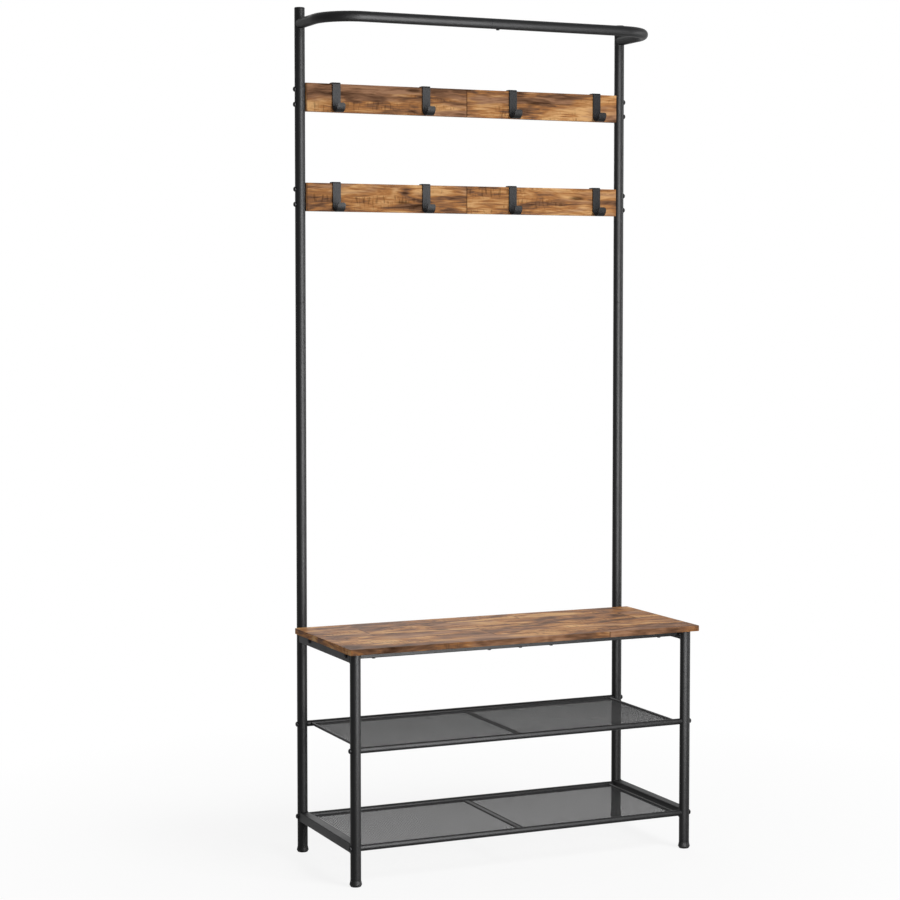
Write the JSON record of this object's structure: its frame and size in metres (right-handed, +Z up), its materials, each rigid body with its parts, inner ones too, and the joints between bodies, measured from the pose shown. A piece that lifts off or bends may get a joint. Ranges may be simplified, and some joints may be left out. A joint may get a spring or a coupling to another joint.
{
  "type": "hall tree with hooks",
  "caption": "Free-standing hall tree: a tube-framed bench with mesh shoe shelves, tall rear posts, wooden boards with sliding strap hooks, and a bent hanging rail on top.",
  "frame": {"origin": "on the floor, at the bottom centre of the whole object's box", "axes": "+X to the right along the seat, +Y to the back where the tall posts stand, +Z up"},
  "size_m": [0.806, 0.3478, 1.8],
  "materials": {
    "powder_coated_tube": "satin black powder coat",
    "powder_coated_mesh": "satin black powder coat",
    "laminated_board": "rustic brown printed wood-grain foil, low sheen",
    "coated_hook": "satin black powder coat",
    "black_plastic": "moulded, fine grained",
    "black_fastener": "black oxide",
    "zinc_steel": "zinc plated"
  },
  "bodies": {
    "frame": {"left_front_leg": "powder_coated_tube", "left_rear_leg": "powder_coated_tube", "right_front_leg": "powder_coated_tube", "right_rear_leg": "powder_coated_tube", "left_seat_side_rail": "powder_coated_tube", "left_lower_side_rail": "powder_coated_tube", "right_seat_side_rail": "powder_coated_tube", "right_lower_side_rail": "powder_coated_tube", "seat_front_rail": "powder_coated_tube", "seat_rear_rail": "powder_coated_tube", "left_post_lower": "powder_coated_tube", "left_post_upper": "powder_coated_tube", "right_post_lower": "powder_coated_tube", "right_post_upper": "powder_coated_tube", "rail_left_half": "powder_coated_tube", "rail_right_half": "powder_coated_tube", "low_shelf_front_tube": "powder_coated_tube", "low_shelf_rear_tube": "powder_coated_tube", "low_shelf_end_bars": "powder_coated_tube", "low_shelf_cross_bar": "powder_coated_tube", "mid_shelf_front_tube": "powder_coated_tube", "mid_shelf_rear_tube": "powder_coated_tube", "mid_shelf_end_bars": "powder_coated_tube", "mid_shelf_cross_bar": "powder_coated_tube", "low_shelf_mesh": "powder_coated_mesh", "mid_shelf_mesh": "powder_coated_mesh", "seat_board": "laminated_board", "upper_hook_board": "laminated_board", "lower_hook_board": "laminated_board", "foot_inserts": "black_plastic", "front_leg_plugs": "black_plastic", "left_post_cap": "black_plastic", "right_post_cap": "black_plastic", "seat_rail_bolts": "black_fastener", "shelf_bolts": "black_fastener", "hook_board_bolts": "black_fastener", "rail_end_bolts": "black_fastener", "rail_joint_screw": "black_fastener", "seat_screws": "black_fastener", "seat_rail_inserts": "zinc_steel", "shelf_tube_inserts": "zinc_steel", "hook_board_inserts": "zinc_steel", "rail_end_inserts": "zinc_steel"},
    "left_front_foot": {"left_front_foot": "black_plastic", "left_front_foot_stud": "zinc_steel"},
    "left_rear_foot": {"left_rear_foot": "black_plastic", "left_rear_foot_stud": "zinc_steel"},
    "right_front_foot": {"right_front_foot": "black_plastic", "right_front_foot_stud": "zinc_steel"},
    "right_rear_foot": {"right_rear_foot": "black_plastic", "right_rear_foot_stud": "zinc_steel"},
    "upper_hook_1": {"upper_hook_1": "coated_hook"},
    "upper_hook_2": {"upper_hook_2": "coated_hook"},
    "upper_hook_3": {"upper_hook_3": "coated_hook"},
    "upper_hook_4": {"upper_hook_4": "coated_hook"},
    "lower_hook_1": {"lower_hook_1": "coated_hook"},
    "lower_hook_2": {"lower_hook_2": "coated_hook"},
    "lower_hook_3": {"lower_hook_3": "coated_hook"},
    "lower_hook_4": {"lower_hook_4": "coated_hook"}
  },
  "joints": [
    {"name": "left_front_foot_screw", "type": "slide", "parent": "frame", "child": "left_front_foot", "axis": [0, 0, -1], "range_m": [0, 0.01]},
    {"name": "left_rear_foot_screw", "type": "slide", "parent": "frame", "child": "left_rear_foot", "axis": [0, 0, -1], "range_m": [0, 0.01]},
    {"name": "right_front_foot_screw", "type": "slide", "parent": "frame", "child": "right_front_foot", "axis": [0, 0, -1], "range_m": [0, 0.01]},
    {"name": "right_rear_foot_screw", "type": "slide", "parent": "frame", "child": "right_rear_foot", "axis": [0, 0, -1], "range_m": [0, 0.01]},
    {"name": "upper_hook_1_slide", "type": "slide", "parent": "frame", "child": "upper_hook_1", "axis": [1, 0, 0], "range_m": [-0.055, 0.09]},
    {"name": "upper_hook_2_slide", "type": "slide", "parent": "frame", "child": "upper_hook_2", "axis": [1, 0, 0], "range_m": [-0.09, 0.09]},
    {"name": "upper_hook_3_slide", "type": "slide", "parent": "frame", "child": "upper_hook_3", "axis": [1, 0, 0], "range_m": [-0.09, 0.09]},
    {"name": "upper_hook_4_slide", "type": "slide", "parent": "frame", "child": "upper_hook_4", "axis": [1, 0, 0], "range_m": [-0.09, 0.038]},
    {"name": "lower_hook_1_slide", "type": "slide", "parent": "frame", "child": "lower_hook_1", "axis": [1, 0, 0], "range_m": [-0.055, 0.09]},
    {"name": "lower_hook_2_slide", "type": "slide", "parent": "frame", "child": "lower_hook_2", "axis": [1, 0, 0], "range_m": [-0.09, 0.09]},
    {"name": "lower_hook_3_slide", "type": "slide", "parent": "frame", "child": "lower_hook_3", "axis": [1, 0, 0], "range_m": [-0.09, 0.09]},
    {"name": "lower_hook_4_slide", "type": "slide", "parent": "frame", "child": "lower_hook_4", "axis": [1, 0, 0], "range_m": [-0.09, 0.038]}
  ]
}
